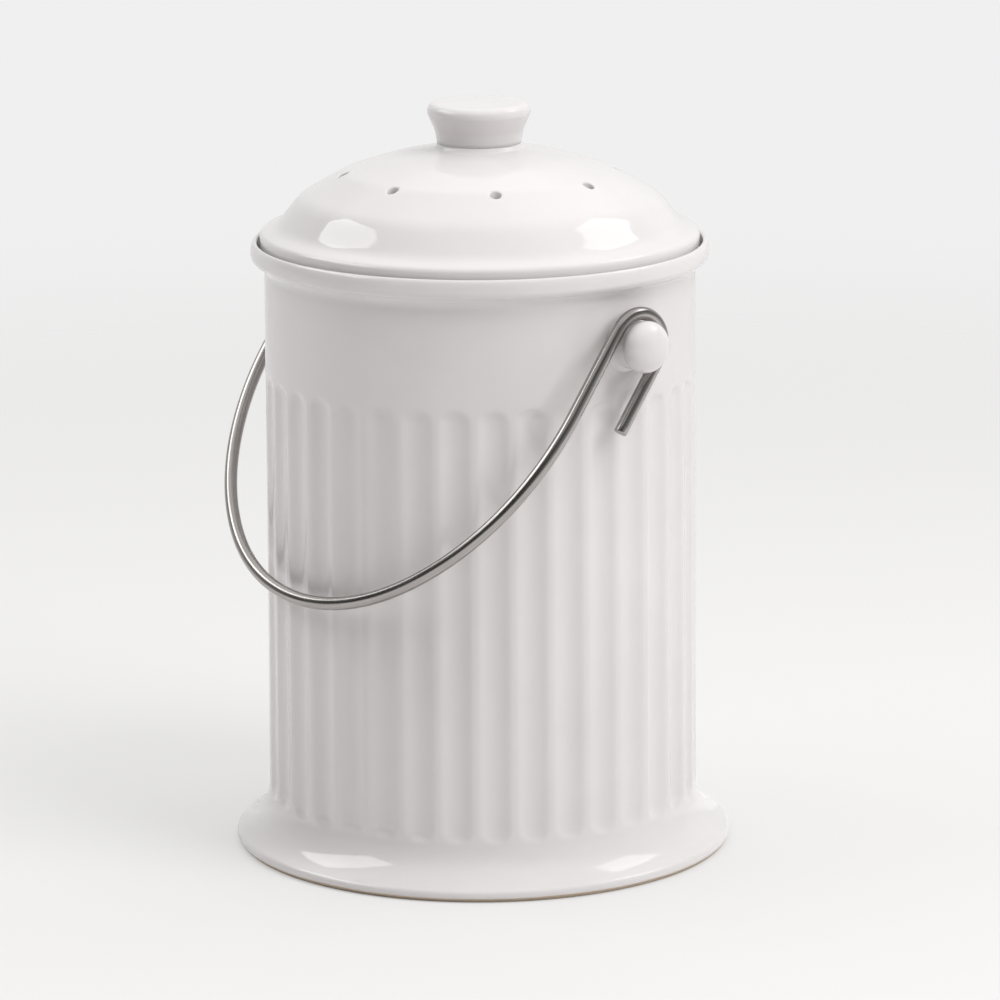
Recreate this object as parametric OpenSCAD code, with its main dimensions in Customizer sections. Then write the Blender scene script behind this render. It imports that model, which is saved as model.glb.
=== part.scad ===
// Countertop compost crock: a fluted stoneware pot with a foot flange and a rolled rim, a loose
// vented lid with a turned knob, a charcoal filter inside the lid, and a wire bail on two lugs.
// Millimetres. +Z is up, the origin is at the middle of the foot, and the lugs lie along X.

/* [Crock] */
// Diameter across the foot flange, the widest part of the pot
foot_d = 184; // [183:0.5:188]
// Diameter of the wall just above the foot sweep, over the ridges
wall_base_d = 159.4; // [159:0.1:160]
// Diameter of the plain band under the rim
wall_top_d = 158; // [157.6:0.1:158.4]
// Diameter of the rim
rim_d = 168; // [167.6:0.1:168.4]
// Height of the crock without its lid
crock_h = 226; // [224:0.5:232]
// Inner diameter of the crock
bore_d = 147; // [144:0.5:148]
// Thickness of the floor of the crock
floor_t = 9; // [7:0.5:12]
// Radius of the cove between the floor and the wall inside
cove_r = 10; // [6:1:16]
// Inner diameter of the foot ring that the crock stands on
foot_ring_d = 140; // [130:1:150]
// Height of the hollow under the crock, inside the foot ring
foot_hollow = 3; // [2:0.5:4]

/* [Flutes] */
// Number of vertical flutes round the wall
flute_count = 36; // [24:1:36]
// Depth of a flute at its middle
flute_depth = 1.4; // [0.8:0.1:1.6]
// Radius of the tool that cuts a flute
flute_tool_r = 12; // [9:0.5:13]
// Height of the lower tips of the flutes
flute_low = 18.5; // [17:0.5:24]
// Height of the upper tips of the flutes
flute_high = 178; // [160:1:180]
// Turn of the first flute from the right lug, in degrees
flute_turn = 2.9; // [0:0.1:10]

/* [Lugs] */
// Height of the axis that the bail swings on
lug_z = 199; // [198:0.5:201]
// Distance from the middle of the pot to the flat that a lug stands on
seat_x = 81; // [80.8:0.1:81.4]
// Distance from the middle of the pot to the tip of a lug
lug_tip_x = 97.8; // [97.4:0.1:101]
// Diameter of the stem that the wire runs round
stem_d = 17.4; // [15:0.2:17.6]
// Diameter of the button that keeps the wire on
button_d = 18.8; // [18.6:0.1:19.6]

/* [Bail] */
// Diameter of the bail wire
wire_d = 4.8; // [4:0.1:5]
// Running clearance between the stem and the crook of the wire
crook_clearance = 0.4; // [0.35:0.05:0.8]
// Distance from the middle of the pot to the middle of a bail leg
leg_x = 86.7; // [86.6:0.1:86.9]
// Reach of the bail from its axis to the middle of the bow
bail_reach = 127.4; // [126.4:0.2:134]
// Radius of the middle stretch of the bow
bow_r = 81.5; // [76:0.5:83]
// Lean of the hanging bail from straight down, in degrees
bail_lean = 36.8; // [36.2:0.1:40]
// Length of the short straight tail beyond a crook
tail_len = 29.8; // [20:0.2:40]

/* [Lid] */
// Diameter of the brim of the lid
brim_d = 161; // [158:0.5:161.5]
// Height of the ledge in the rim that the brim rests on
seat_z = 221.5; // [220:0.5:222]
// Outer diameter of the locating skirt
skirt_d = 144; // [142:0.5:144]
// Inner diameter of the skirt, which holds the filter
skirt_bore_d = 134; // [132:0.5:135]
// Depth of the skirt below the ledge
skirt_depth = 12; // [10.5:0.5:14]
// Number of vent holes
vent_count = 8; // [4:1:12]
// Diameter of a vent hole
vent_d = 4; // [3:0.5:5]
// Radius of the circle that the vent holes lie on
vent_ring_r = 50; // [44:0.5:52]
// Turn of the first vent hole from the right lug, in degrees
vent_turn = 11.3; // [0:0.1:45]

/* [Knob] */
// Height of the joint between the lid and its knob
knob_z = 261.5; // [261:0.1:262]
// Diameter of the neck of the knob at that joint
neck_d = 30.8; // [29:0.2:31.4]
// Diameter of the knob
knob_d = 38.8; // [37:0.2:40]
// Height of the whole pot, to the crown of the knob
total_h = 276.8; // [276.4:0.1:278]

/* [Filter] */
// Thickness of the charcoal filter
filter_t = 8; // [5:0.5:8]
// Clearance of the filter in the skirt, all round
filter_gap = 0.3; // [0.3:0.05:1]

/* [Hidden] */

$fn = 96;
GLAZE = "#e6e3df";
STEEL = "#a3a19d";
CHARCOAL = "#2a2a2b";

ARC_STEPS = 8; // straight steps in each rounded stretch of a profile

// Foot: a rounded flange, a crease, and a sweep of a quarter of an ellipse up to the wall
foot_r = foot_d / 2;
flange_z = 2.5;
flange_round = 2.4;
flange_turn = 68;
sweep_top_z = 21;
sweep_start = 25;
wall_base_r = wall_base_d / 2;
crease_r = foot_r - flange_round * (1 - cos(flange_turn));
crease_z = flange_z + flange_round * sin(flange_turn);
sweep_w = (crease_r - wall_base_r) / (1 - sin(sweep_start));
sweep_h = (sweep_top_z - crease_z) / cos(sweep_start);

// Rim: a cove leads out from the plain band to a tall oval bead, and a small round closes its lip
wall_top_r = wall_top_d / 2;
rim_r = rim_d / 2;
rim_w = 2.5;
lip_r = 0.9;
bead_w = rim_w - lip_r;
bead_h = 4.4;
bead_z = crock_h - bead_h;
under_h = 3;
under_turn = 70;
cove_turn = atan(rim_w / under_h * tan(under_turn));
cove_out_r = (rim_r - rim_w * (1 - cos(under_turn)) - wall_top_r) / (1 - cos(cove_turn));
cove_low_z = bead_z - under_h * sin(under_turn) - cove_out_r * sin(cove_turn);
gallery_r = rim_r - rim_w;
bore_r = bore_d / 2;

// Flutes: each cutter is a round-ended rod, upright, just outside the wall
flute_axis_r = (wall_base_r + wall_top_r) / 2 - flute_depth + flute_tool_r;
flute_tip_low = sqrt(pow(flute_tool_r, 2) - pow(flute_axis_r - wall_base_r, 2));
flute_tip_high = sqrt(pow(flute_tool_r, 2) - pow(flute_axis_r - wall_top_r, 2));

// Pads and lugs
pad_flat_r = 10.5;
pad_ball_r = 38;
pad_ball_x = seat_x - sqrt(pow(pad_ball_r, 2) - pow(pad_flat_r, 2));
pad_reach = 21;
pad_root_x = 75;
stem_r = stem_d / 2;
button_r = button_d / 2;
button_half_t = 6.8;
button_x = lug_tip_x - button_half_t;
button_start = -acos(stem_r / button_r);
base_fillet = 3;
base_r = 10.4;
base_end = 180 + acos((stem_r + base_fillet - base_r) / base_fillet);

// Bail: all its stretches meet tangent, so the side arcs follow from the bow and the legs. Half of
// the bow turns through the small angle of a 3-4-5 triangle, which keeps the sums round. The bow
// stops a hair short of each side arc, and a ball a hair larger than the wire joins the two.
wire_r = wire_d / 2;
crook_r = stem_r + crook_clearance + wire_r;
bow_half_angle = asin(0.6);
bow_short_angle = 0.05;
joint_ball_r = wire_r + 0.04;
side_r = (leg_x - bow_r * sin(bow_half_angle)) / (1 - sin(bow_half_angle));
bow_s = bail_reach - bow_r;
side_s = bow_s - (side_r - bow_r) * cos(bow_half_angle);

// Lid: each place where its top or its hollow turns has a radius, a height above the ledge and the
// radius that rounds it
brim_r = brim_d / 2;
skirt_r = skirt_d / 2;
skirt_bore_r = skirt_bore_d / 2;
filter_stop_z = seat_z - 2;
filter_stop_r = 63;
brim_edge_h = 7.7;
brim_round = 2.2;
collar = [74.2, 10.2, 10];
shoulder = [66, 20.5, 16];
haunch = [49.5, 29.7, 16];
dome = [34, 34.7, 60];
hollow_crown = [22, 31, 40];
hollow_haunch = [46, 24.5, 20];
hollow_shoulder = [61.5, 15, 5];

// Knob: the boss of the lid steps out a little under its neck
boss_step = 0.8;
boss_drop = 1.6;
boss_round = 2;
knob_r = knob_d / 2;
neck_r = neck_d / 2;
waist_out = 0.7;
waist_h = 4.5;
waist_round = 10;
knob_rim_out = 0.4;
knob_rim_h = 13.2;
knob_rim_round = 3;
crown_in = 3;
crown_drop = 0.5;
crown_round = 3.5;

// Rounds one corner of an outline with an arc of radius r that touches both its sides
function unit(v) = v / norm(v);
function corner_arc(before, corner, after, r) =
    let (
        u = unit(before - corner),
        v = unit(after - corner),
        half = acos(u * v) / 2,
        centre = corner + unit(u + v) * r / sin(half),
        first = corner + u * r / tan(half) - centre,
        last = corner + v * r / tan(half) - centre,
        from = atan2(first.y, first.x),
        swing = atan2(first.x * last.y - first.y * last.x, first * last)
    )
    [for (i = [0:ARC_STEPS]) centre + r * [cos(from + swing * i / ARC_STEPS), sin(from + swing * i / ARC_STEPS)]];

// Outline through [x, y, r] corners, where a corner with r = 0 stays sharp
function xy(p) = [p.x, p.y];
function rounded(path) = [
    for (i = [0:len(path) - 1])
        each (path[i][2] > 0
            ? corner_arc(xy(path[i - 1]), xy(path[i]), xy(path[i + 1]), path[i][2])
            : [xy(path[i])])
];

// Points of an elliptical arc round a centre, from one angle to another
function arc(centre, rx, ry, from, to) =
    [for (i = [0:ARC_STEPS]) centre + [rx * cos(from + (to - from) * i / ARC_STEPS),
                                       ry * sin(from + (to - from) * i / ARC_STEPS)]];

// Crock in half section: the hollow foot, the outside up to the lip, the gallery that the lid sits
// in, and the bore down to the cove and the floor
crock_section = concat(
    [[0, foot_hollow], [foot_ring_d / 2, foot_hollow], [foot_ring_d / 2, 0], [foot_r - flange_z, 0]],
    arc([foot_r - flange_round, flange_z], flange_round, flange_round, -flange_turn, flange_turn),
    arc([wall_base_r + sweep_w, sweep_top_z], sweep_w, sweep_h, 270 - sweep_start, 180),
    arc([wall_top_r + cove_out_r, cove_low_z], cove_out_r, cove_out_r, 180, 180 - cove_turn),
    arc([gallery_r, bead_z], rim_w, under_h, -under_turn, 0),
    arc([rim_r - bead_w, bead_z], bead_w, bead_h, 0, 90),
    arc([rim_r - bead_w, crock_h - lip_r], lip_r, lip_r, 90, 180),
    rounded([
        [gallery_r, seat_z, 0],
        [bore_r, seat_z, 0],
        [bore_r, floor_t, cove_r],
        [0, floor_t, 0]
    ])
);

// Place on the lid's outline, from its height above the ledge
function on_lid(place) = [place.x, seat_z + place.y, place.z];

// Top of the lid in half section: brim, collar, shoulder, dome, and the boss under the knob
lid_top = [
    [brim_r, seat_z, 0],
    [brim_r, seat_z + brim_edge_h, brim_round],
    on_lid(collar),
    on_lid(shoulder),
    on_lid(haunch),
    on_lid(dome),
    [neck_r + boss_step, knob_z - boss_drop, boss_round],
    [neck_r, knob_z, 0]
];

// Underside of the lid in half section: the hollow under the dome, the filter stop and the skirt
lid_under = [
    [0, seat_z + hollow_crown.y, 0],
    on_lid(hollow_crown),
    on_lid(hollow_haunch),
    on_lid(hollow_shoulder),
    [filter_stop_r, filter_stop_z, 0],
    [skirt_bore_r, filter_stop_z, 0],
    [skirt_bore_r, seat_z - skirt_depth, 0],
    [skirt_r, seat_z - skirt_depth, 0],
    [skirt_r, seat_z, 0]
];

// Knob in half section: a waisted neck, a flared rim and a nearly flat crown
knob_section = [
    [0, knob_z, 0],
    [neck_r, knob_z, 0],
    [neck_r + waist_out, knob_z + waist_h, waist_round],
    [knob_r + knob_rim_out, knob_z + knob_rim_h, knob_rim_round],
    [knob_r - crown_in, total_h - crown_drop, crown_round],
    [0, total_h, 0]
];

module flute_cutter() {
    rotate_extrude()
        intersection() {
            union() {
                translate([0, flute_low + flute_tip_low]) circle(r = flute_tool_r);
                translate([0, flute_high - flute_tip_high]) circle(r = flute_tool_r);
                translate([0, flute_low + flute_tip_low])
                    square([flute_tool_r, flute_high - flute_tip_high - flute_low - flute_tip_low]);
            }
            square([flute_tool_r, crock_h]);
        }
}

module flutes() {
    for (i = [0:flute_count - 1])
        rotate([0, 0, flute_turn + i * 360 / flute_count])
            translate([flute_axis_r, 0, 0])
                flute_cutter();
}

// Soft swelling of the wall with a flat for the lug, on the +X side
module pad() {
    translate([0, 0, lug_z])
        rotate([0, 90, 0])
            rotate_extrude()
                polygon(concat(
                    [[0, pad_root_x], [pad_reach, pad_root_x]],
                    arc([0, pad_ball_x], pad_ball_r, pad_ball_r,
                        acos(pad_reach / pad_ball_r), acos(pad_flat_r / pad_ball_r)),
                    [[0, seat_x]]
                ));
}

module crock_body() {
    color(GLAZE)
        difference() {
            union() {
                rotate_extrude() polygon(crock_section);
                pad();
                mirror([1, 0, 0]) pad();
            }
            flutes();
        }
}

// Turned lug: a flared base, the stem that the wire runs round, and a domed button
module lug() {
    rotate([0, 90, 0])
        rotate_extrude()
            polygon(concat(
                [[0, seat_x], [base_r, seat_x]],
                arc([stem_r + base_fillet, seat_x + base_fillet], base_fillet, base_fillet, base_end, 180),
                arc([0, button_x], button_r, button_half_t, button_start, 90)
            ));
}

module right_lug() {
    color(GLAZE)
        translate([0, 0, lug_z])
            lug();
}

module left_lug() {
    color(GLAZE)
        translate([0, 0, lug_z])
            mirror([1, 0, 0])
                lug();
}

// A bent stretch of the wire round Z, of the given centre radius and turn
module wire_arc(r, angle, start = 0) {
    rotate_extrude(angle = angle, start = start)
        translate([r, 0])
            circle(r = wire_r);
}

// One side of the bail at +X, hanging straight down: tail, crook, leg and side arc
module bail_side() {
    translate([leg_x, 0, 0]) {
        rotate([90, 0, 90])
            wire_arc(crook_r, 180);
        translate([0, crook_r, -tail_len])
            cylinder(r = wire_r, h = tail_len);
        translate([0, -crook_r, -side_s])
            cylinder(r = wire_r, h = side_s);
    }
    translate([leg_x - side_r, -crook_r, -side_s])
        rotate([-90, 0, 0])
            wire_arc(side_r, 90 - bow_half_angle);
}

module bow() {
    translate([0, -crook_r, -bow_s]) {
        rotate([-90, 0, 0])
            wire_arc(bow_r, 2 * (bow_half_angle - bow_short_angle), 90 - bow_half_angle + bow_short_angle);
        for (side = [-1, 1])
            translate([side * bow_r * sin(bow_half_angle), 0, -bow_r * cos(bow_half_angle)])
                sphere(r = joint_ball_r);
    }
}

module bail_handle() {
    color(STEEL)
        translate([0, 0, lug_z])
            rotate([-bail_lean, 0, 0]) {
                bail_side();
                mirror([1, 0, 0]) bail_side();
                bow();
            }
}

module lid() {
    color(GLAZE)
        difference() {
            rotate_extrude()
                polygon(concat(rounded(lid_under), rounded(lid_top), [[0, knob_z]]));
            for (i = [0:vent_count - 1])
                rotate([0, 0, vent_turn + i * 360 / vent_count])
                    translate([vent_ring_r, 0, seat_z])
                        cylinder(d = vent_d, h = total_h - seat_z);
        }
}

module lid_knob() {
    color(GLAZE)
        rotate_extrude()
            polygon(rounded(knob_section));
}

module charcoal_filter() {
    color(CHARCOAL)
        translate([0, 0, filter_stop_z - filter_t])
            cylinder(r = skirt_bore_r - filter_gap, h = filter_t);
}

crock_body();
right_lug();
left_lug();
bail_handle();
lid();
lid_knob();
charcoal_filter();
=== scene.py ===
"""Dresses the fluted stoneware compost crock: glazed pot and lid, steel bail and charcoal filter."""
import logging
import math
from collections.abc import Callable
from dataclasses import dataclass, field
from enum import Enum

import bmesh
import bpy
from mathutils import Matrix, Vector


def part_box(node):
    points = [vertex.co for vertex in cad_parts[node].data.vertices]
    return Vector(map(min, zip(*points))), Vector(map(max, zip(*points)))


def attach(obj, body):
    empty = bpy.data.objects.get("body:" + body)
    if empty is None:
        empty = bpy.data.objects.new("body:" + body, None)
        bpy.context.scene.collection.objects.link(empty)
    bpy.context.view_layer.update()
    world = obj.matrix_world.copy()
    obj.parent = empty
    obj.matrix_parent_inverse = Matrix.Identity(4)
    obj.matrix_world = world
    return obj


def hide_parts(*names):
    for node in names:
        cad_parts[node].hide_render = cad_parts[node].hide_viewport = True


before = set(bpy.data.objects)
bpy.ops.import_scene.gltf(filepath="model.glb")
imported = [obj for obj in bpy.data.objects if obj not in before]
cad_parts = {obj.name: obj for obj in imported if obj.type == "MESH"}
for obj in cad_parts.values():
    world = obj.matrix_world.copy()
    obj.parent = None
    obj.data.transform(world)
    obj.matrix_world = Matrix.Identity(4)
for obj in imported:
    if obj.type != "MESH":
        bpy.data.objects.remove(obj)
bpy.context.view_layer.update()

MM = 0.001  # a millimetre, in metres
FINE_STEP = 0.1  # longest step between the points of an arc
SHARP_CORNER = 12.0  # degrees past which a bend always keeps its row of the mesh
ROW_TURN = 7.0  # degrees that an outline may turn between two rows
WELD = 1e-5  # distance at which the points of a turned mesh are one
LUG_Z = 199.0  # height of the axis that the bail swings on
PAD_X = 81.0  # distance of the lugs' flats from the middle of the pot
SEAT_Z = 221.5  # height of the ledge that the lid rests on
KNOB_Z = 261.5  # height of the joint between the lid and its knob
NECK_R = 15.4  # radius of the knob's neck at that joint
DRAWN_LINES = "drawn_lines"  # attribute with each point's place round and along the wire
LOG = logging.getLogger("crock")

Outline = list[tuple[float, float]]
Corner = tuple[float, float, float]
Colour = tuple[float, float, float, float]
Noise = tuple[float, float, float]  # scale, detail and roughness
Inputs = dict[str | int, object]
Socket = bpy.types.NodeSocket
Mesh = bmesh.types.BMesh
Material = bpy.types.Material
Node = bpy.types.Node
Tree = bpy.types.NodeTree
Piece = bpy.types.Object
WHITE: Colour = (1.0, 1.0, 1.0, 1.0)


class Slot(Enum):
    """Material slots of the record, listed here but given to no piece."""

    GLAZE = "glazed_stoneware"
    WIRE = "stainless_wire"
    FELT = "charcoal_felt"


class Body(Enum):
    """Moving bodies that the pieces ride on."""

    CROCK = "crock"
    BAIL = "bail"
    LID = "lid"
    FILTER = "filter"


# ---- Outlines and small formulas, in millimetres ----


def node_box(name: str) -> tuple[Vector, Vector]:
    """Returns the lowest and highest corners of a CAD node."""
    low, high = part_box(name)
    return low / MM, high / MM


def arc(centre: tuple[float, float], radii: tuple[float, float], start: float, end: float) -> Outline:
    """Draws an elliptical arc.

    Args:
        centre: Middle of the ellipse.
        radii: Its half axes, across and up.
        start: First angle, in degrees.
        end: Last angle, in degrees.

    Returns:
        The points of the arc, both ends included, no further apart than the fine step.
    """
    steps = math.ceil(math.radians(abs(end - start)) * max(radii) / FINE_STEP)
    turns = [math.radians(start + (end - start) * i / steps) for i in range(steps + 1)]
    return [(centre[0] + radii[0] * math.cos(t), centre[1] + radii[1] * math.sin(t)) for t in turns]


def rounded(corners: list[Corner]) -> Outline:
    """Rounds the corners of an outline with arcs that touch both their sides.

    Args:
        corners: Corners as (across, up, radius), where a radius of 0 leaves the corner sharp.

    Returns:
        The points of the rounded outline.
    """
    points: Outline = []
    for i, (x, y, radius) in enumerate(corners):
        corner = Vector((x, y))
        if radius <= 0:
            points.append((x, y))
            continue
        before = (Vector(corners[i - 1][:2]) - corner).normalized()
        after = (Vector(corners[i + 1][:2]) - corner).normalized()
        half = before.angle(after) / 2
        middle = corner + (before + after).normalized() * radius / math.sin(half)
        first = corner + before * radius / math.tan(half) - middle
        swing = -first.angle_signed(corner + after * radius / math.tan(half) - middle)
        steps = math.ceil(abs(swing) * radius / FINE_STEP)
        for k in range(steps + 1):
            spoke = first.copy()
            spoke.rotate(Matrix.Rotation(swing * k / steps, 2))
            points.append(tuple(middle + spoke))
    return points


def pace(points: Outline, spacing: Callable[[float, float], float]) -> Outline:
    """Spreads the rows of a mesh along an outline, closer together where it bends.

    Args:
        points: The outline, with its round stretches in fine steps.
        spacing: Gives the longest step allowed near a point (across, up).

    Returns:
        The chosen points, with every sharp corner among them.
    """
    fine = [Vector(points[0])]
    for start, end in zip(map(Vector, points), map(Vector, points[1:])):
        steps = math.ceil((end - start).length / FINE_STEP - 1e-6)
        fine += [start.lerp(end, k / steps) for k in range(1, steps + 1)]
    kept, used = [tuple(fine[0])], 0.0
    for before, here, after in zip(fine, fine[1:], fine[2:]):
        bend = math.degrees((here - before).angle(after - here, 0.0))
        used += (here - before).length / spacing(*here) + bend / ROW_TURN
        if used >= 1 or bend > SHARP_CORNER:
            kept.append(tuple(here))
            used = 0.0
    return kept + [tuple(fine[-1])]


def soft_max(a: float, b: float, softness: float) -> float:
    """Returns the larger of two values, with the corner between them rounded over softness."""
    return (a + b + math.sqrt((a - b) ** 2 + softness ** 2)) / 2


def height_at(surface: Outline, radius: float) -> float:
    """Reads the height of a surface.

    Args:
        surface: Its outline, in which the first stretch that holds the radius counts.
        radius: Where to read it.

    Returns:
        The height.
    """
    for (r0, z0), (r1, z1) in zip(surface, surface[1:]):
        if min(r0, r1) <= radius <= max(r0, r1) and r0 != r1:
            return z0 + (z1 - z0) * (radius - r0) / (r1 - r0)
    raise ValueError(f"no surface at radius {radius}")


def smooth_step(value: float, low: float, high: float) -> float:
    """Returns 0 below low, 1 above high and a smooth rise between them."""
    share = min(max((value - low) / (high - low), 0.0), 1.0)
    return share * share * (3 - 2 * share)


# ---- Meshes ----


def lathe(outline: Outline, steps: int) -> Mesh:
    """Turns a half section into a closed solid round Z.

    Args:
        outline: Points as (radius, height), from the axis round to the axis again or closed.
        steps: Number of steps in the full turn.

    Returns:
        The turned mesh, in millimetres, with its seam and poles closed.
    """
    bm = bmesh.new()
    verts = [bm.verts.new((radius, 0.0, height)) for radius, height in outline]
    edges = [bm.edges.new(pair) for pair in zip(verts, verts[1:])]
    bmesh.ops.spin(bm, geom=verts + edges, cent=(0, 0, 0), axis=(0, 0, 1), dvec=(0, 0, 0),
                   angle=math.tau, steps=steps, use_merge=True, use_normal_flip=False)
    bmesh.ops.remove_doubles(bm, verts=bm.verts, dist=WELD)
    bmesh.ops.recalc_face_normals(bm, faces=bm.faces)
    return bm


def turn_mesh(bm: Mesh, angle: float, axis: str) -> None:
    """Turns a whole mesh round an axis through the origin, by an angle in radians."""
    bmesh.ops.rotate(bm, verts=bm.verts, cent=(0, 0, 0), matrix=Matrix.Rotation(angle, 3, axis))


def make_piece(bm: Mesh, name: str, body: Body, material: Material,
               nodes: list[str]) -> Piece:
    """Turns a finished mesh in millimetres into a piece of the object.

    Args:
        bm: The mesh, which is freed.
        name: Name of the piece.
        body: Body that it rides on.
        material: Its material.
        nodes: CAD nodes that it stands for.

    Returns:
        The new object, at the origin, in metres.
    """
    bmesh.ops.scale(bm, vec=(MM, MM, MM), verts=bm.verts)
    mesh = bpy.data.meshes.new(name)
    bm.to_mesh(mesh)
    bm.free()
    mesh.shade_smooth()
    mesh.materials.append(material)
    piece = bpy.data.objects.new(name, mesh)
    bpy.context.scene.collection.objects.link(piece)
    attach(piece, body.value)
    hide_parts(*nodes)
    LOG.info("%s: %d vertices, %d faces", name, len(mesh.vertices), len(mesh.polygons))
    return piece


# ---- Shader building ----


@dataclass
class Shader:
    """A node tree that is being built, as a material's or a group's."""

    tree: Tree

    def feed(self, node: Node, inputs: Inputs) -> Node:
        """Feeds inputs of a node.

        Args:
            node: The node.
            inputs: Socket or constant for each input, by the input's name or number.

        Returns:
            The node.
        """
        for key, value in inputs.items():
            if isinstance(value, Socket):
                self.tree.links.new(value, node.inputs[key])
            else:
                node.inputs[key].default_value = value
        return node

    def add(self, kind: str, inputs: Inputs | None = None, **settings: object) -> Node:
        """Adds a node.

        Args:
            kind: Type of the node.
            inputs: Sockets or constants for its inputs.
            **settings: Properties of the node to set.

        Returns:
            The node.
        """
        node = self.tree.nodes.new(kind)
        for key, value in settings.items():
            setattr(node, key, value)
        return self.feed(node, inputs or {})

    def math(self, operation: str, *values: object, clamp: bool = False) -> Socket:
        """Works out sockets or constants, and with clamp keeps the result between 0 and 1."""
        inputs = dict(enumerate(values))
        return self.add("ShaderNodeMath", inputs, operation=operation, use_clamp=clamp).outputs[0]

    def ramp(self, value: Socket, low: float, high: float,
             to_low: float = 0.0, to_high: float = 1.0) -> Socket:
        """Maps a value smoothly from the range low to high to the range to_low to to_high."""
        limits = {"From Min": low, "From Max": high, "To Min": to_low, "To Max": to_high}
        return self.add("ShaderNodeMapRange", {"Value": value, **limits},
                        interpolation_type="SMOOTHSTEP").outputs["Result"]

    def blend(self, share: object, first: object, second: object) -> Socket:
        """Mixes two numbers, with the given share of the second."""
        return self.add("ShaderNodeMix", {0: share, 2: first, 3: second}, data_type="FLOAT").outputs[0]

    def mix(self, share: object, first: object, second: object) -> Socket:
        """Mixes two colours, with the given share of the second."""
        return self.add("ShaderNodeMix", {0: share, 6: first, 7: second}, data_type="RGBA").outputs[2]

    def noise(self, vector: Socket, scale: float, detail: float, roughness: float) -> Socket:
        """Adds a noise texture and returns its value."""
        inputs = {"Vector": vector, "Scale": scale, "Detail": detail, "Roughness": roughness}
        return self.add("ShaderNodeTexNoise", inputs).outputs["Fac"]

    def bump(self, height: Socket, depth: float, strength: float = 1.0) -> Socket:
        """Returns normals for a height that stands for up to depth millimetres."""
        inputs = {"Height": height, "Distance": depth * MM, "Strength": strength}
        return self.add("ShaderNodeBump", inputs).outputs["Normal"]

    def place(self) -> Socket:
        """Returns the object's own coordinates."""
        return self.add("ShaderNodeTexCoord").outputs["Object"]


def new_material(name: str) -> tuple[Material, Shader, Node]:
    """Makes a material that holds a Principled shader.

    Args:
        name: Its name.

    Returns:
        The material, its tree, and the Principled node.
    """
    material = bpy.data.materials.new(name)
    material.use_nodes = True
    return material, Shader(material.node_tree), material.node_tree.nodes["Principled BSDF"]


# ---- Finishes ----


@dataclass(frozen=True)
class KilnMarks:
    """Marks that a firing leaves in a glaze: slow mottle, a few pinholes and a faint ripple."""

    mottle: Noise = (22.0, 3.0, 0.55)
    mottle_range: tuple[float, float] = (0.3, 0.7)
    cell_scale: float = 42.0
    spared_cells: float = 0.9
    pinhole_size: float = 0.35
    pinhole_reach: float = 0.06
    pinhole_depth: float = 0.5
    ripple: Noise = (55.0, 1.0, 0.4)
    peel: Noise = (420.0, 1.0, 0.5)
    peel_height: float = 0.045

    def group(self) -> Tree:
        """Builds the node group.

        Returns:
            A group that puts out the mottle, a pinhole mask and the height of the fired surface.
        """
        tree = bpy.data.node_groups.new("kiln_marks", "ShaderNodeTree")
        tree.interface.new_socket("Vector", in_out="INPUT", socket_type="NodeSocketVector")
        size = tree.interface.new_socket("Pinhole Size", in_out="INPUT", socket_type="NodeSocketFloat")
        size.default_value = self.pinhole_size
        for name in ("Mottle", "Pinholes", "Height"):
            tree.interface.new_socket(name, in_out="OUTPUT", socket_type="NodeSocketFloat")
        shader = Shader(tree)
        given = shader.add("NodeGroupInput").outputs
        vector = given["Vector"]
        slow = shader.noise(vector, *self.mottle)
        cells = shader.add("ShaderNodeTexVoronoi", {"Vector": vector, "Scale": self.cell_scale,
                                                    "Randomness": 1.0}, feature="F1", distance="EUCLIDEAN")
        colour = shader.add("ShaderNodeSeparateColor", {0: cells.outputs["Color"]})
        chosen = shader.math("GREATER_THAN", colour.outputs[0], self.spared_cells)
        reach = shader.math("MULTIPLY", given["Pinhole Size"], colour.outputs[1])
        reach = shader.math("MULTIPLY", reach, self.pinhole_reach)
        away = shader.math("DIVIDE", cells.outputs["Distance"], reach)
        pits = shader.math("MULTIPLY", shader.math("SUBTRACT", 1.0, away, clamp=True), chosen)
        ripple = shader.noise(vector, *self.ripple)
        peel = shader.noise(vector, *self.peel)
        waves = shader.math("ADD", ripple, shader.math("MULTIPLY", peel, self.peel_height))
        shader.add("NodeGroupOutput", {
            "Mottle": shader.ramp(slow, *self.mottle_range), "Pinholes": pits,
            "Height": shader.math("SUBTRACT", waves, shader.math("MULTIPLY", pits, self.pinhole_depth))})
        return tree


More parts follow.
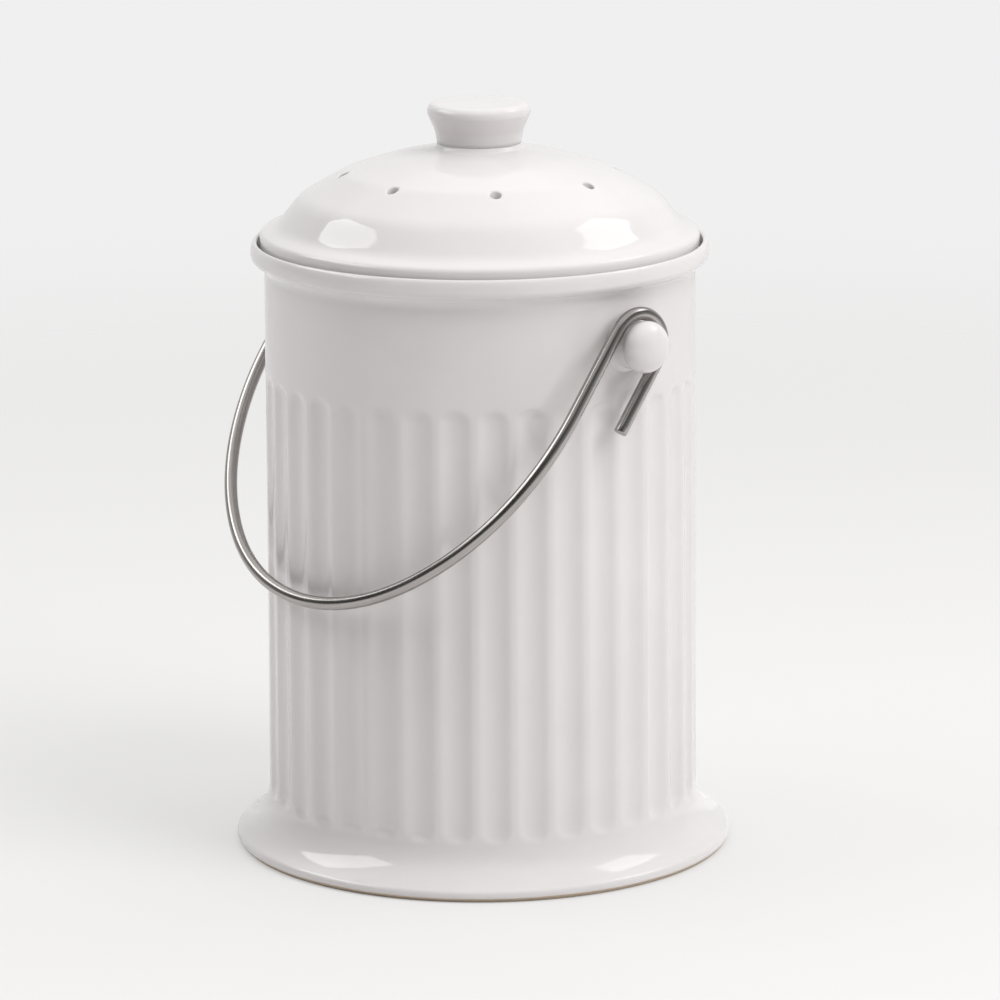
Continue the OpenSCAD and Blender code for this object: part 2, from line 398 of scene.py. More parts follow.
@dataclass(frozen=True)
class GlazeFinish:
    """Gloss white glaze over stoneware, with a bare clay line where the foot was wiped."""

    colour: Colour = (0.695, 0.670, 0.665, 1.0)
    shade: Colour = (0.67, 0.647, 0.641, 1.0)
    pit: Colour = (0.30, 0.24, 0.19, 1.0)
    clay: Colour = (0.52, 0.42, 0.32, 1.0)
    dark_grain: float = 0.8
    gloss_roughness: float = 0.07
    clay_roughness: float = 0.85
    refraction: float = 1.52
    clay_line: float = 1.7
    clay_waver: float = 0.7
    clay_edge: float = 0.25
    waver: Noise = (35.0, 2.0, 0.5)
    grain: Noise = (900.0, 4.0, 0.6)
    ripple_height: float = 0.12

    def wiped(self, shader: Shader, place: Socket) -> Socket:
        """Masks the band of bare clay at the foot, which has a wavering edge.

        Args:
            shader: The material's tree.
            place: The object's own coordinates.

        Returns:
            The mask.
        """
        height = shader.add("ShaderNodeSeparateXYZ", {0: place}).outputs["Z"]
        waver = shader.math("MULTIPLY", shader.noise(place, *self.waver), self.clay_waver * MM)
        line, edge = (self.clay_line + self.clay_waver / 2) * MM, self.clay_edge * MM
        return shader.ramp(shader.math("ADD", height, waver), line - edge, line + edge, 1.0, 0.0)

    def material(self, name: str, marks: Tree, bare_foot: bool) -> Material:
        """Builds the glaze for one piece.

        Args:
            name: Name of the material.
            marks: The kiln marks group.
            bare_foot: Whether the lowest band of the piece is wiped clay.

        Returns:
            The material.
        """
        material, shader, principled = new_material(name)
        place = shader.place()
        fired = shader.add("ShaderNodeGroup", {"Vector": place}, node_tree=marks).outputs
        colour = shader.mix(fired["Mottle"], self.shade, self.colour)
        colour = shader.mix(fired["Pinholes"], colour, self.pit)
        roughness = self.gloss_roughness
        if bare_foot:
            bare = self.wiped(shader, place)
            dark = tuple(self.dark_grain * c for c in self.clay[:3]) + (1.0,)
            clay = shader.mix(shader.noise(place, *self.grain), dark, self.clay)
            colour = shader.mix(bare, colour, clay)
            roughness = shader.ramp(bare, 0.0, 1.0, self.gloss_roughness, self.clay_roughness)
        shader.feed(principled, {
            "Base Color": colour, "Roughness": roughness, "IOR": self.refraction,
            "Normal": shader.bump(fired["Height"], self.ripple_height)})
        return material


@dataclass(frozen=True)
class WireFinish:
    """Drawn stainless wire, lightly polished, with fine lines along its length."""

    colour: Colour = (0.42, 0.40, 0.385, 1.0)
    dull: Colour = (0.31, 0.295, 0.285, 1.0)
    roughness: tuple[float, float] = (0.16, 0.26)
    line: Noise = (5.0, 3.0, 0.6)
    line_range: tuple[float, float] = (0.25, 0.75)
    line_depth: float = 0.02
    line_strength: float = 0.5
    scuff: Noise = (60.0, 3.0, 0.6)
    wear_range: tuple[float, float] = (0.3, 0.7)

    def material(self) -> Material:
        """Builds the steel.

        Returns:
            The material.
        """
        material, shader, principled = new_material("drawn_steel")
        along = shader.add("ShaderNodeAttribute", attribute_name=DRAWN_LINES).outputs["Vector"]
        draw = shader.noise(along, *self.line)
        scuff = shader.noise(shader.place(), *self.scuff)
        wear = shader.math("MULTIPLY", shader.math("ADD", draw, scuff), 0.5)
        shader.feed(principled, {
            "Base Color": shader.mix(shader.ramp(draw, *self.line_range), self.dull, self.colour),
            "Roughness": shader.ramp(wear, *self.wear_range, *self.roughness), "Metallic": 1.0,
            "Normal": shader.bump(draw, self.line_depth, self.line_strength)})
        return material


@dataclass(frozen=True)
class FeltFinish:
    """Needled felt, black with carbon dust."""

    colour: Colour = (0.030, 0.030, 0.032, 1.0)
    fibre: Colour = (0.085, 0.085, 0.088, 1.0)
    roughness: float = 0.95
    sheen: float = 0.25
    tangle: Noise = (1400.0, 4.0, 0.7)
    tangle_range: tuple[float, float] = (0.45, 0.75)
    tangle_height: float = 0.5
    tuft: Noise = (260.0, 3.0, 0.6)
    pile_depth: float = 0.5
    pile_strength: float = 0.9

    def material(self) -> Material:
        """Builds the felt.

        Returns:
            The material.
        """
        material, shader, principled = new_material("carbon_felt")
        place = shader.place()
        tangle = shader.noise(place, *self.tangle)
        tufts = shader.noise(place, *self.tuft)
        height = shader.math("ADD", tufts, shader.math("MULTIPLY", tangle, self.tangle_height))
        shader.feed(principled, {
            "Base Color": shader.mix(shader.ramp(tangle, *self.tangle_range), self.colour, self.fibre),
            "Roughness": self.roughness, "Sheen Weight": self.sheen,
            "Normal": shader.bump(height, self.pile_depth, self.pile_strength)})
        return material


# ---- Sub-assemblies, sizes in millimetres ----


@dataclass(frozen=True)
class Flutes:
    """Upright grooves cut round the wall, with glaze-softened ridges between them."""

    count: int = 36
    depth: float = 1.4
    tool_r: float = 12.0
    end_r: float = 7.5
    low: float = 18.5
    high: float = 178.0
    turn: float = 2.9
    softness: float = 0.22
    crowding: float = 0.45
    clear: float = -4.0

    def cut(self, radius: float, polar: float, height: float) -> float:
        """Finds how deep the flutes cut at a point of the wall.

        Args:
            radius: Radius of the plain wall there.
            polar: Angle round Z, in radians.
            height: Height.

        Returns:
            The depth.
        """
        pitch = math.tau / self.count
        offset = (polar - math.radians(self.turn) + pitch / 2) % pitch - pitch / 2
        across = offset * radius
        bend = 1 / self.tool_r + 1 / radius
        reach = math.sqrt(2 * self.depth * self.end_r)
        beyond = max(self.low + reach - height, height - self.high + reach, 0.0)
        depth = self.depth - across ** 2 * bend / 2 - beyond ** 2 / (2 * self.end_r)
        rest = soft_max(self.clear, 0.0, self.softness)
        return soft_max(max(depth, self.clear), 0.0, self.softness) - rest

    def crowd(self, polar: float) -> float:
        """Moves an angle towards the nearest ridge, so that ridges get more of the mesh."""
        return polar + self.crowding * math.sin(self.count * (polar - math.radians(self.turn))) / self.count


@dataclass(frozen=True)
class Pad:
    """Swelling of the wall that a lug stands on."""

    lug_z: float = LUG_Z
    seat_x: float = PAD_X
    flat_r: float = 10.5
    ball_r: float = 38.0
    edge_softness: float = 0.5
    blend: float = 1.0
    half_h: float = 28.0
    inmost_x: float = 60.0
    clear: float = -6.0

    def lift(self, spot: Vector) -> None:
        """Moves a point of the wall out to the pad's face, where the pad covers it.

        Args:
            spot: The point, which is changed.
        """
        if abs(spot.z - self.lug_z) >= self.half_h or abs(spot.x) <= self.inmost_x:
            return
        away = math.hypot(spot.y, spot.z - self.lug_z)
        middle = self.seat_x - math.sqrt(self.ball_r ** 2 - self.flat_r ** 2)
        ball = middle + math.sqrt(max(self.ball_r ** 2 - away ** 2, 0.0))
        back = soft_max(self.seat_x - ball, 0.0, self.edge_softness) - self.edge_softness / 2
        raised = soft_max(abs(spot.x), self.seat_x - back, self.blend)
        spot.x = math.copysign(raised - soft_max(0.0, self.clear, self.blend), spot.x)


@dataclass
class Crock:
    """The pot: hollow foot, flange, fluted wall, pads, rolled rim, gallery and bore."""

    glaze: Material
    flutes: Flutes = field(default_factory=Flutes)
    pad: Pad = field(default_factory=Pad)
    ring_r: float = 70.0
    hollow: float = 3.0
    hollow_round: float = 0.8
    ring_slope: float = 0.6
    ring_round: float = 0.5
    foot_edge: float = 1.6
    chamfer: tuple[float, float] = (1.0, 0.9)
    flange_z: float = 2.5
    flange_round: float = 2.4
    flange_turns: tuple[float, float] = (-42.0, 68.0)
    sweep_top_z: float = 21.0
    sweep_start: float = 25.0
    wall_base_r: float = 79.7
    wall_top_r: float = 79.0
    rim_r: float = 84.0
    lip_r: float = 0.9
    bead_h: float = 4.4
    under_h: float = 3.0
    under_turn: float = 70.0
    gallery_r: float = 81.5
    seat_z: float = SEAT_Z
    seat_rounds: tuple[float, float] = (0.8, 0.9)
    bore_r: float = 73.5
    floor_t: float = 9.0
    cove_r: float = 10.0
    skin_r: float = 77.0
    skin_top_z: float = 220.5
    pole_r: float = 1e-3
    turn_steps: int = 432
    bore_zone_r: float = 78.0
    bore_rows: float = 16.0
    band_rows: float = 1.6
    flute_rows: float = 6.0
    tip_rows: float = 0.9
    tip_inset: float = 3.0
    tip_reach: float = 7.0

    def foot(self, foot_r: float) -> Outline:
        """Draws the hollow foot, the rounded flange and the sweep up to the wall.

        Args:
            foot_r: Radius of the foot.

        Returns:
            The outline.
        """
        low, high = self.flange_turns
        turn, start = math.radians(high), math.radians(self.sweep_start)
        crease_r = foot_r - self.flange_round * (1 - math.cos(turn))
        crease_z = self.flange_z + self.flange_round * math.sin(turn)
        sweep_w = (crease_r - self.wall_base_r) / (1 - math.sin(start))
        sweep_h = (self.sweep_top_z - crease_z) / math.cos(start)
        edge_r = foot_r - self.foot_edge
        under = rounded([(0, self.hollow, 0), (self.ring_r - self.ring_slope, self.hollow, self.hollow_round),
                         (self.ring_r, 0, self.ring_round), (edge_r, 0, self.ring_round),
                         (edge_r + self.chamfer[0], self.chamfer[1], 0)])
        flange = arc((foot_r - self.flange_round, self.flange_z), (self.flange_round,) * 2, low, high)
        return under + flange + arc((self.wall_base_r + sweep_w, self.sweep_top_z), (sweep_w, sweep_h),
                                    270 - self.sweep_start, 180)

    def rim(self, height: float) -> Outline:
        """Draws the cove under the rim, its tall oval bead and the small round of its lip.

        Args:
            height: Height of the pot.

        Returns:
            The outline.
        """
        rim_w, turn = self.rim_r - self.gallery_r, math.radians(self.under_turn)
        bead_w, bead_z = rim_w - self.lip_r, height - self.bead_h
        out_turn = math.atan(rim_w / self.under_h * math.tan(turn))
        out_r = (self.rim_r - rim_w * (1 - math.cos(turn)) - self.wall_top_r) / (1 - math.cos(out_turn))
        out_z = bead_z - self.under_h * math.sin(turn) - out_r * math.sin(out_turn)
        cove = arc((self.wall_top_r + out_r, out_z), (out_r,) * 2, 180, 180 - math.degrees(out_turn))
        bead = arc((self.gallery_r, bead_z), (rim_w, self.under_h), -self.under_turn, 0)
        bead += arc((self.rim_r - bead_w, bead_z), (bead_w, self.bead_h), 0, 90)
        return cove + bead + arc((self.rim_r - bead_w, height - self.lip_r), (self.lip_r,) * 2, 90, 180)

    def outline(self) -> Outline:
        """Draws the half section, from the middle of the hollow foot to the middle of the floor.

        Returns:
            The outline.
        """
        high = node_box("crock_body")[1]
        inside = rounded([(self.gallery_r, high.z - self.lip_r, 0),
                          (self.gallery_r, self.seat_z, self.seat_rounds[0]),
                          (self.bore_r, self.seat_z, self.seat_rounds[1]),
                          (self.bore_r, self.floor_t, self.cove_r), (0, self.floor_t, 0)])
        return pace(self.foot(high.y) + self.rim(high.z) + inside, self.row_spacing)

    def row_spacing(self, radius: float, height: float) -> float:
        """Sets how far apart the rows of the mesh are.

        Args:
            radius: Radius of the row.
            height: Height of the row.

        Returns:
            The longest step there.
        """
        if radius < self.bore_zone_r:
            return self.bore_rows
        tips = (self.flutes.low + self.tip_inset, self.flutes.high - self.tip_inset)
        if min(abs(height - tip) for tip in tips) < self.tip_reach:
            return self.tip_rows
        return self.band_rows if height > self.flutes.high else self.flute_rows

    def build(self) -> Piece:
        """Turns the pot, then cuts its flutes and raises its pads.

        Returns:
            The piece.
        """
        bm = lathe(self.outline(), self.turn_steps)
        for vert in bm.verts:
            radius = math.hypot(vert.co.x, vert.co.y)
            if radius < self.pole_r:
                continue
            polar = self.flutes.crowd(math.atan2(vert.co.y, vert.co.x))
            outside = radius > self.skin_r and vert.co.z < self.skin_top_z
            if outside:
                radius -= self.flutes.cut(radius, polar, vert.co.z)
            vert.co.xy = radius * math.cos(polar), radius * math.sin(polar)
            if outside:
                self.pad.lift(vert.co)
        return make_piece(bm, "fluted_crock", Body.CROCK, self.glaze, ["crock_body"])


@dataclass
class Lugs:
    """The pair of turned lugs that carry the bail."""

    glaze: Material
    lug_z: float = LUG_Z
    seat_x: float = PAD_X
    base_r: float = 10.4
    stem_r: float = 8.7
    button_r: float = 9.4
    button_half_t: float = 6.8
    fillet: float = 3.0
    row_step: float = 1.0
    turn_steps: int = 96

    def build(self) -> list[Piece]:
        """Turns both lugs, from the seat on the pad to the tip.

        Returns:
            The pieces.
        """
        button_x = node_box("right_lug")[1].x - self.button_half_t
        base_end = 180 + math.degrees(math.acos((self.stem_r + self.fillet - self.base_r) / self.fillet))
        button_start = -math.degrees(math.acos(self.stem_r / self.button_r))
        flare = arc((self.stem_r + self.fillet, self.seat_x + self.fillet), (self.fillet,) * 2, base_end, 180)
        dome = arc((0, button_x), (self.button_r, self.button_half_t), button_start, 90)
        outline = [(0, self.seat_x), (self.base_r, self.seat_x)] + flare + dome
        pieces = []
        for side, name in ((1, "right_lug"), (-1, "left_lug")):
            bm = lathe(pace(outline, lambda radius, height: self.row_step), self.turn_steps)
            turn_mesh(bm, side * math.pi / 2, "Y")
            bmesh.ops.translate(bm, verts=bm.verts, vec=(0, 0, self.lug_z))
            pieces.append(make_piece(bm, f"glazed_{name}", Body.CROCK, self.glaze, [name]))
        return pieces


@dataclass
class Wire:
    """A wire in the making, which is carried on from its open end."""

    bm: Mesh
    end: list[bmesh.types.BMEdge]

    def run(self, rise: float, steps: int) -> None:
        """Runs the wire straight up or down.

        Args:
            rise: How far it rises.
            steps: Number of steps in this stretch.
        """
        for _ in range(steps):
            made = bmesh.ops.extrude_edge_only(self.bm, edges=self.end)["geom"]
            verts = [item for item in made if isinstance(item, bmesh.types.BMVert)]
            self.end = [item for item in made if isinstance(item, bmesh.types.BMEdge)
                        and all(vert in verts for vert in item.verts)]
            bmesh.ops.translate(self.bm, verts=verts, vec=Vector((0, 0, rise)) / steps)

    def bend(self, centre: Corner, axis: Corner, angle: float, steps: int) -> None:
        """Bends the wire round an axis.

        Args:
            centre: A point on the axis.
            axis: Direction of the axis.
            angle: Angle of the bend, in radians.
            steps: Number of steps in this stretch.
        """
        made = bmesh.ops.spin(self.bm, geom=self.end, cent=centre, axis=axis, dvec=(0, 0, 0), angle=angle,
                              steps=steps, use_merge=False, use_normal_flip=False)
        self.end = [item for item in made["geom_last"] if isinstance(item, bmesh.types.BMEdge)]


@dataclass
class Bail:
    """The wire bail, bent in one length from tail to tail."""

    steel: Material
    axis_z: float = LUG_Z
    wire_r: float = 2.4
    crook_r: float = 11.5
    leg_x: float = 86.7
    reach: float = 127.4
    bow_r: float = 81.5
    bow_half_angle: float = math.asin(0.6)
    lean: float = 36.8
    tail: float = 29.8
    end_round: float = 0.35
    ring_steps: int = 24
    tail_steps: int = 10
    crook_steps: int = 40
    leg_steps: int = 12
    side_steps: int = 36
    bow_steps: int = 48
    round_steps: int = 3
    line_step: float = 0.02
    weld: float = 1e-4

    def build(self) -> Piece:
        """Bends the wire, hanging straight down, and leans it against its stop.

        Returns:
            The piece.
        """
        leg, half = self.leg_x, self.bow_half_angle
        side_r = (leg - self.bow_r * math.sin(half)) / (1 - math.sin(half))
        bow_s = self.reach - self.bow_r
        side_s = bow_s - (side_r - self.bow_r) * math.cos(half)
        side_turn = math.pi / 2 - half
        bm = bmesh.new()
        made = bmesh.ops.create_circle(bm, cap_ends=False, segments=self.ring_steps, radius=self.wire_r)
        bmesh.ops.translate(bm, verts=made["verts"], vec=(leg, self.crook_r, -self.tail))
        wire = Wire(bm, list(bm.edges))
        wire.run(self.tail, self.tail_steps)
        wire.bend((leg, 0, 0), (1, 0, 0), math.pi, self.crook_steps)
        wire.run(-side_s, self.leg_steps)
        wire.bend((leg - side_r, 0, -side_s), (0, 1, 0), side_turn, self.side_steps)
        wire.bend((0, 0, -bow_s), (0, 1, 0), 2 * half, self.bow_steps)
        wire.bend((side_r - leg, 0, -side_s), (0, 1, 0), side_turn, self.side_steps)
        wire.run(side_s, self.leg_steps)
        wire.bend((-leg, 0, 0), (-1, 0, 0), math.pi, self.crook_steps)
        wire.run(-self.tail, self.tail_steps)
        bmesh.ops.remove_doubles(bm, verts=bm.verts, dist=self.weld)
        self.mark_lines(bm)
        ends = [edge for edge in bm.edges if edge.is_boundary]
        caps = bmesh.ops.holes_fill(bm, edges=ends, sides=0)["faces"]
        bmesh.ops.recalc_face_normals(bm, faces=bm.faces)
        rims = [edge for face in caps for edge in face.edges]
        bmesh.ops.bevel(bm, geom=rims, offset=self.end_round, affect="EDGES", segments=self.round_steps,
                        profile=0.5, material=-1)
        turn_mesh(bm, math.radians(-self.lean), "X")
        bmesh.ops.translate(bm, verts=bm.verts, vec=(0, 0, self.axis_z))
        return make_piece(bm, "wire_bail", Body.BAIL, self.steel, ["bail_handle"])

    def mark_lines(self, bm: Mesh) -> None:
        """Stores each point's place round and along the wire, for the lines that drawing left.

        Args:
            bm: The wire, with its rings in order of length.
        """
        layer = bm.verts.layers.float_vector.new(DRAWN_LINES)
        for index, vert in enumerate(bm.verts):
            ring, step = divmod(index, self.ring_steps)
            turn = math.tau * step / self.ring_steps
            vert[layer] = (math.cos(turn), math.sin(turn), ring * self.line_step)


@dataclass(frozen=True)
class Vents:
    """Round air holes through the dome of the lid, with glaze-rounded mouths."""

    count: int = 8
    hole_r: float = 2.0
    ring_r: float = 50.0
    turn: float = 11.3
    columns: int = 44
    row_step: float = 0.9
    hole_ring: int = 4
    last_ring: int = 10
    margin: float = 0.3
    round_over: float = 0.7
    round_steps: int = 4

    def rows(self, surface: Outline, spacing: float) -> Outline:
        """Spreads rows of the mesh over a surface of the lid, with even ones round the holes.

        Args:
            surface: Its outline, running inwards or outwards.
            spacing: Longest step between two rows away from the holes.

        Returns:
            The points of its rows.
        """
        rows = pace(surface, lambda radius, height: spacing)
        reach = self.last_ring * self.row_step + self.margin
        near = [k for k, (radius, height) in enumerate(rows) if abs(radius - self.ring_r) < reach]
        step = math.copysign(self.row_step, surface[-1][0] - surface[0][0])
        radii = [self.ring_r + step * k for k in range(-self.last_ring, self.last_ring + 1)]
        rows[near[0]:near[-1] + 1] = [(radius, height_at(surface, radius)) for radius in radii]
        return rows

    def place(self, spot: Vector, column: int, row: int) -> Vector:
        """Finds where a point of the grid round a hole goes, so that the grid opens round it.

        Args:
            spot: Its place in the even grid, with the hole's middle on the X axis.
            column: Steps from the hole's middle round the lid.
            row: Steps from the hole's middle outwards.

        Returns:
            Its new place.
        """
        ring = max(abs(column), abs(row))
        swap = abs(row) > abs(column)
        lead, follow = (row, column) if swap else (column, row)
        turn = math.pi / 4 * follow / lead
        spoke = Vector((math.cos(turn), math.sin(turn))) * math.copysign(1.0, lead)
        outwards, across = spoke if swap else (spoke.y, spoke.x)
        beyond = (ring - self.hole_ring) / (self.last_ring - self.hole_ring)
        circle_r = self.hole_r + (self.last_ring * self.row_step - self.hole_r) * beyond
        circle = Vector((self.ring_r + outwards * circle_r, across * circle_r))
        return circle.lerp(spot, smooth_step(ring, self.hole_ring, self.last_ring))

    def open(self, bm: Mesh, top: Outline, under: Outline) -> None:
        """Opens every hole through the lid.

        Args:
            bm: The lid, whose columns start at a hole.
            top: Outline of its top.
            under: Outline of its underside.
        """
        pitch = math.tau / self.count
        holes = [set() for _ in range(self.count)]
        for vert in bm.verts:
            radius, polar = vert.co.xy.length, math.atan2(vert.co.y, vert.co.x) % math.tau
            row = round((radius - self.ring_r) / self.row_step)
            if abs(row) > self.last_ring:
                continue
            hole = round(polar / pitch) % self.count
            offset = (polar - hole * pitch + math.pi) % math.tau - math.pi
            column = round(offset / pitch * self.columns)
            ring = max(abs(row), abs(column))
            if ring <= self.hole_ring:
                holes[hole].add(vert)
            if self.hole_ring <= ring < self.last_ring:
                spot = vert.co.xy
                spot.rotate(Matrix.Rotation(-hole * pitch, 2))
                spot = self.place(spot, column, row)
                spot.rotate(Matrix.Rotation(hole * pitch, 2))
                middle = (height_at(top, radius) + height_at(under, radius)) / 2
                vert.co = (*spot, height_at(top if vert.co.z > middle else under, spot.length))
        for verts in holes:
            plugs = [face for face in bm.faces if all(vert in verts for vert in face.verts)]
            rims = list(dict.fromkeys(edge for face in plugs for edge in face.edges
                                      if any(other not in plugs for other in edge.link_faces)))
            bmesh.ops.delete(bm, geom=plugs, context="FACES")
            bmesh.ops.bridge_loops(bm, edges=rims)
            bmesh.ops.bevel(bm, geom=rims, offset=self.round_over, affect="EDGES",
                            segments=self.round_steps, profile=0.5, material=-1, clamp_overlap=True)


@dataclass
class Lid:
    """The vented lid: brim, collar, dome and boss above, and a skirt with the filter stop below.

    A corner has a radius, a height above the ledge and the radius that rounds it.
    """

    glaze: Material
    vents: Vents = field(default_factory=Vents)
    seat_z: float = SEAT_Z
    brim_low_h: float = 1.0
    brim_edge_h: float = 7.7
    brim_round: float = 2.2
    collar: Corner = (74.2, 10.2, 10.0)
    shoulder: Corner = (66.0, 20.5, 16.0)
    haunch: Corner = (49.5, 29.7, 16.0)
    dome: Corner = (34.0, 34.7, 60.0)
    hollow_crown: Corner = (22.0, 31.0, 40.0)
    hollow_haunch: Corner = (46.0, 24.5, 20.0)
    hollow_shoulder: Corner = (61.5, 15.0, 5.0)
    skirt_r: float = 72.0
    skirt_bore_r: float = 67.0
    stop_r: float = 63.0
    stop_z: float = 219.5
    stop_rounds: tuple[float, float] = (0.5, 0.4)
    skirt_round: float = 1.2
    brim_rounds: tuple[float, float] = (0.8, 0.9)
    knob_z: float = KNOB_Z
    neck_r: float = NECK_R
    boss_step: float = 0.8
    boss_drop: float = 1.6
    boss_round: float = 2.0
    row_step: float = 2.5

    def over_ledge(self, *corners: Corner) -> list[Corner]:
        """Returns corners with their heights counted from the floor."""
        return [(radius, self.seat_z + height, turn) for radius, height, turn in corners]

    def top(self) -> Outline:
        """Draws the top in half section, from the edge of the brim to the boss.

        Returns:
            The outline.
        """
        brim_r = node_box("lid")[1].x
        return rounded([
            *self.over_ledge((brim_r, self.brim_low_h, 0), (brim_r, self.brim_edge_h, self.brim_round),
                             self.collar, self.shoulder, self.haunch, self.dome),
            (self.neck_r + self.boss_step, self.knob_z - self.boss_drop, self.boss_round),
            (self.neck_r, self.knob_z, 0), (0, self.knob_z, 0)])

    def underside(self) -> Outline:
        """Draws the underside in half section, from the middle of the hollow to the brim.

        Returns:
            The outline.
        """
        low, high = node_box("lid")
        return rounded([
            *self.over_ledge((0, self.hollow_crown[1], 0), self.hollow_crown, self.hollow_haunch,
                             self.hollow_shoulder),
            (self.stop_r, self.stop_z, self.stop_rounds[0]),
            (self.skirt_bore_r, self.stop_z, self.stop_rounds[1]),
            (self.skirt_bore_r, low.z, self.skirt_round), (self.skirt_r, low.z, self.skirt_round),
            (self.skirt_r, self.seat_z, self.brim_rounds[0]), (high.x, self.seat_z, self.brim_rounds[1]),
            (high.x, self.seat_z + self.brim_low_h, 0)])

    def build(self) -> Piece:
        """Turns the lid and opens its vents.

        Returns:
            The piece.
        """
        under, top = self.underside(), self.top()
        rows = self.vents.rows(under, self.row_step) + self.vents.rows(top, self.row_step)[1:]
        bm = lathe(rows, self.vents.count * self.vents.columns)
        self.vents.open(bm, top, under)
        loose = [vert for vert in bm.verts if not vert.link_faces]
        bmesh.ops.delete(bm, geom=loose, context="VERTS")
        bmesh.ops.recalc_face_normals(bm, faces=bm.faces)
        turn_mesh(bm, math.radians(self.vents.turn), "Z")
        return make_piece(bm, "vented_lid", Body.LID, self.glaze, ["lid"])


@dataclass
class Knob:
    """The turned knob on the lid's boss."""

    glaze: Material
    knob_z: float = KNOB_Z
    neck_r: float = NECK_R
    knob_r: float = 19.4
    waist: Corner = (0.7, 4.5, 10.0)
    rim: Corner = (0.4, 13.2, 3.0)
    crown: Corner = (-3.0, -0.5, 3.5)
    row_step: float = 1.5
    turn_steps: int = 128

    def build(self) -> Piece:
        """Turns the knob.

        Returns:
            The piece.
        """
        top = node_box("lid_knob")[1].z
        turns = ((self.neck_r, self.knob_z, self.waist), (self.knob_r, self.knob_z, self.rim),
                 (self.knob_r, top, self.crown))
        corners = [(radius + out, height + up, turn) for radius, height, (out, up, turn) in turns]
        outline = rounded([(0, self.knob_z, 0), (self.neck_r, self.knob_z, 0), *corners, (0, top, 0)])
        bm = lathe(pace(outline, lambda radius, height: self.row_step), self.turn_steps)
        return make_piece(bm, "turned_knob", Body.LID, self.glaze, ["lid_knob"])


@dataclass
class Filter:
    """The charcoal felt disc in the skirt of the lid."""

    felt: Material
    edge_round: float = 1.6
    row_step: float = 2.5
    turn_steps: int = 160

    def build(self) -> Piece:
        """Cuts the disc.

        Returns:
            The piece.
        """
        low, high = node_box("charcoal_filter")
        outline = rounded([(0, low.z, 0), (high.x, low.z, self.edge_round),
                           (high.x, high.z, self.edge_round), (0, high.z, 0)])
        bm = lathe(pace(outline, lambda radius, height: self.row_step), self.turn_steps)
        return make_piece(bm, "felt_filter", Body.FILTER, self.felt, ["charcoal_filter"])


# ---- Studio, sizes in metres but for the camera's place ----


@dataclass(frozen=True)
class Softbox:
    """A rectangular soft light that faces a point of the object."""

    name: str
    azimuth: float
    elevation: float
    distance: float
    size: tuple[float, float]
    radiance: float
    target_z: float = 0.15
    mirrored: bool = True

    def build(self, front: float) -> None:
        """Hangs the light round the object.

        Args:
            front: Azimuth that its own counts from, 0 being towards -Y and 90 towards +X.
        """
        turn, rise = math.radians(front + self.azimuth), math.radians(self.elevation)
        away = Vector((math.sin(turn) * math.cos(rise), -math.cos(turn) * math.cos(rise), math.sin(rise)))
        data = bpy.data.lights.new(self.name, "AREA")
        data.shape = "RECTANGLE"
        data.size, data.size_y = self.size
        data.energy = self.radiance * math.pi * self.size[0] * self.size[1]
        lamp = bpy.data.objects.new(self.name, data)
        lamp.location = Vector((0, 0, self.target_z)) + away * self.distance
        lamp.rotation_euler = away.to_track_quat("Z", "Y").to_euler()
        lamp.visible_glossy = self.mirrored
        bpy.context.scene.collection.objects.link(lamp)


@dataclass(frozen=True)
class Glow:
    """A side of the room that is lighter than the rest."""

    azimuth: float
    edges: tuple[float, float]
    rise: tuple[float, float]
    level: float


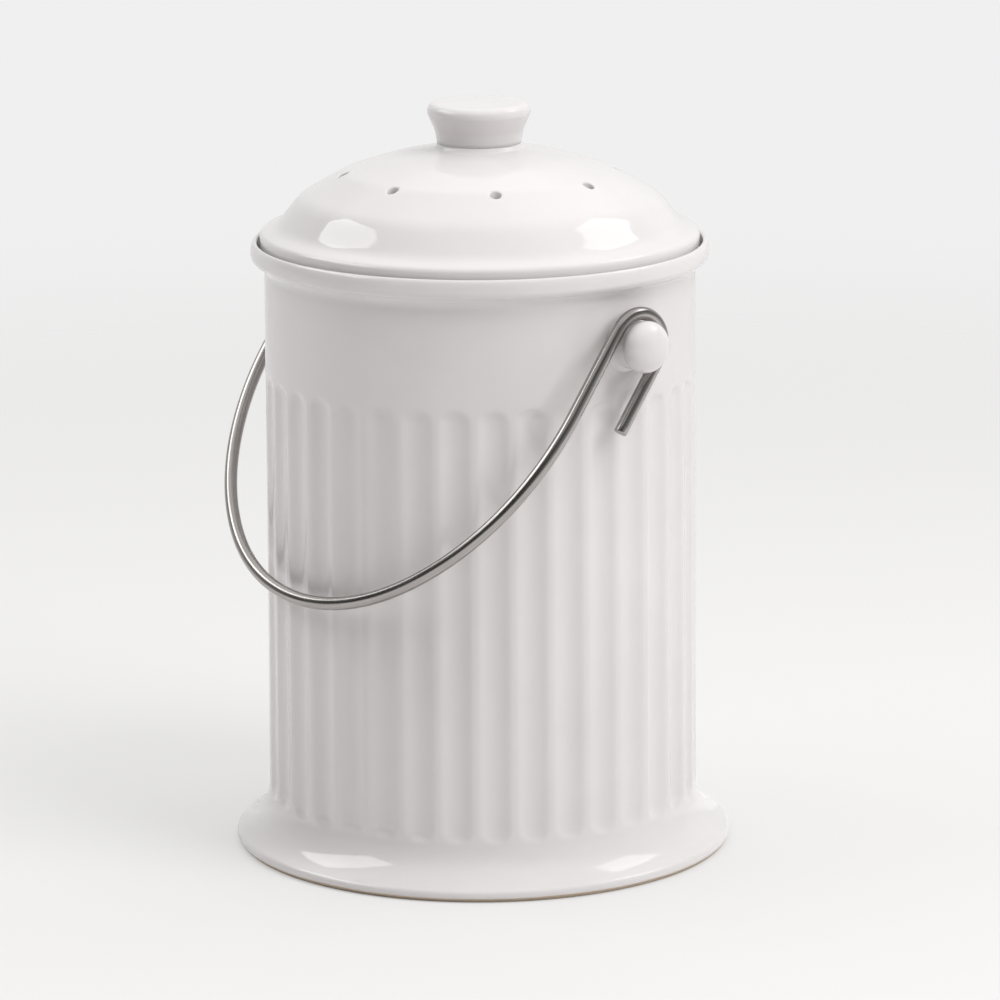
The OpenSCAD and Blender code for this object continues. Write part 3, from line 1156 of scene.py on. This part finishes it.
@dataclass(frozen=True)
class Studio:
    """Camera, softboxes, pale floor, and a dim room with lighter sides and ceiling."""

    azimuth: float = 49.5
    pitch: float = 13.05
    roll: float = -0.31
    focal_px: float = 5676.0
    frame_px: float = 1000.0
    sensor: float = 36.0
    right: float = 6.9
    back: float = 2045.4
    up: float = 601.6
    sight: float = 20.0
    boxes: tuple[Softbox, ...] = (
        Softbox("left_box", -92.0, 42.0, 1.4, (1.2, 0.45), 3.2),
        Softbox("key_box", 54.0, 43.0, 1.5, (0.75, 1.3), 5.1, 0.2, mirrored=False),
        Softbox("right_box", 104.0, 46.0, 1.4, (0.6, 0.48), 2.4),
    )
    backdrop: float = 0.87
    dim: float = 0.08
    glows: tuple[Glow, ...] = (
        Glow(62.0, (0.35, 0.95), (0.2, 0.6), 0.25),
        Glow(180.0, (0.1, 0.8), (0.6, 0.95), 0.75),
    )
    ceiling: float = 0.95
    ceiling_rise: tuple[float, float] = (0.5, 0.9)
    horizon: tuple[float, float] = (-0.12, 0.02)
    floor_light: float = 0.8
    floor_colour: Colour = (0.82, 0.81, 0.805, 1.0)
    seen_colour: Colour = (0.42, 0.415, 0.41, 1.0)
    seen_light: float = 0.36
    floor_roughness: float = 0.9
    floor_steps: int = 96
    floor_fade: tuple[float, float] = (0.6, 1.3)

    def camera(self) -> None:
        """Places the camera."""
        turn, pitch, roll = (math.radians(a) for a in (self.azimuth, self.pitch, self.roll))
        right, plumb = Vector((math.cos(turn), math.sin(turn), 0)), Vector((0, 0, 1))
        away = Vector((-math.sin(turn), math.cos(turn), 0))
        upward = math.sin(pitch) * away + math.cos(pitch) * plumb
        forward = math.cos(pitch) * away - math.sin(pitch) * plumb
        across = math.cos(roll) * right + math.sin(roll) * upward
        over = -math.sin(roll) * right + math.cos(roll) * upward
        data = bpy.data.cameras.new("camera")
        data.sensor_width = self.sensor
        data.lens = self.focal_px / self.frame_px * self.sensor
        data.clip_end = self.sight
        camera = bpy.data.objects.new("camera", data)
        place = (self.right * right - self.back * away + self.up * plumb) * MM
        aim = Matrix((across, over, -forward)).transposed().to_4x4()
        camera.matrix_world = Matrix.Translation(place) @ aim
        bpy.context.scene.collection.objects.link(camera)
        bpy.context.scene.camera = camera

    def floor(self) -> None:
        """Lays the pale floor, which fades into the backdrop."""
        bm = bmesh.new()
        bmesh.ops.create_circle(bm, cap_ends=True, segments=self.floor_steps, radius=self.floor_fade[1])
        mesh = bpy.data.meshes.new("floor")
        bm.to_mesh(mesh)
        bm.free()
        floor = bpy.data.objects.new("floor", mesh)
        material, shader, principled = new_material("floor_paper")
        reach = shader.add("ShaderNodeVectorMath", {0: shader.place()}, operation="LENGTH").outputs["Value"]
        seen = shader.add("ShaderNodeLightPath").outputs["Is Camera Ray"]
        shader.feed(principled, {
            "Base Color": shader.mix(seen, self.floor_colour, self.seen_colour),
            "Roughness": self.floor_roughness, "Alpha": shader.ramp(reach, *self.floor_fade, 1.0, 0.0),
            "Emission Color": WHITE, "Emission Strength": shader.math("MULTIPLY", seen, self.seen_light)})
        mesh.materials.append(material)
        bpy.context.scene.collection.objects.link(floor)

    def world(self) -> None:
        """Sets the room round the object, with a pale backdrop that only the camera sees."""
        world = bpy.data.worlds.new("studio")
        world.use_nodes = True
        shader = Shader(world.node_tree)
        direction = shader.add("ShaderNodeTexCoord").outputs["Generated"]
        rise = shader.add("ShaderNodeSeparateXYZ", {0: direction}).outputs["Z"]
        room = shader.ramp(rise, *self.ceiling_rise, self.dim, self.dim + self.ceiling)
        for glow in self.glows:
            turn = math.radians(self.azimuth + glow.azimuth)
            towards = (math.sin(turn), -math.cos(turn), 0)
            facing = shader.add("ShaderNodeVectorMath", {0: direction, 1: towards},
                                operation="DOT_PRODUCT").outputs["Value"]
            share = shader.math("MULTIPLY", shader.ramp(facing, *glow.edges),
                                shader.ramp(rise, *glow.rise, glow.level, 0.0))
            room = shader.math("ADD", room, share)
        room = shader.blend(shader.ramp(rise, *self.horizon), self.floor_light, room)
        seen = shader.add("ShaderNodeLightPath").outputs["Is Camera Ray"]
        shader.feed(world.node_tree.nodes["Background"],
                    {"Color": WHITE, "Strength": shader.blend(seen, room, self.backdrop)})
        bpy.context.scene.world = world

    def build(self) -> None:
        """Builds the whole studio."""
        self.camera()
        for box in self.boxes:
            box.build(self.azimuth)
        self.floor()
        self.world()
        bpy.context.scene.view_settings.view_transform = "Standard"


def main() -> None:
    """Builds the studio and the pieces."""
    logging.basicConfig(level=logging.INFO, format="%(name)s: %(message)s")
    Studio().build()
    marks = KilnMarks().group()
    finish = GlazeFinish()
    foot_glaze = finish.material("glaze_with_bare_foot", marks, bare_foot=True)
    glaze = finish.material("glaze", marks, bare_foot=False)
    Crock(foot_glaze).build()
    Lugs(glaze).build()
    Bail(WireFinish().material()).build()
    Lid(glaze).build()
    Knob(glaze).build()
    Filter(FeltFinish().material()).build()


if __name__ == "__main__":
    main()
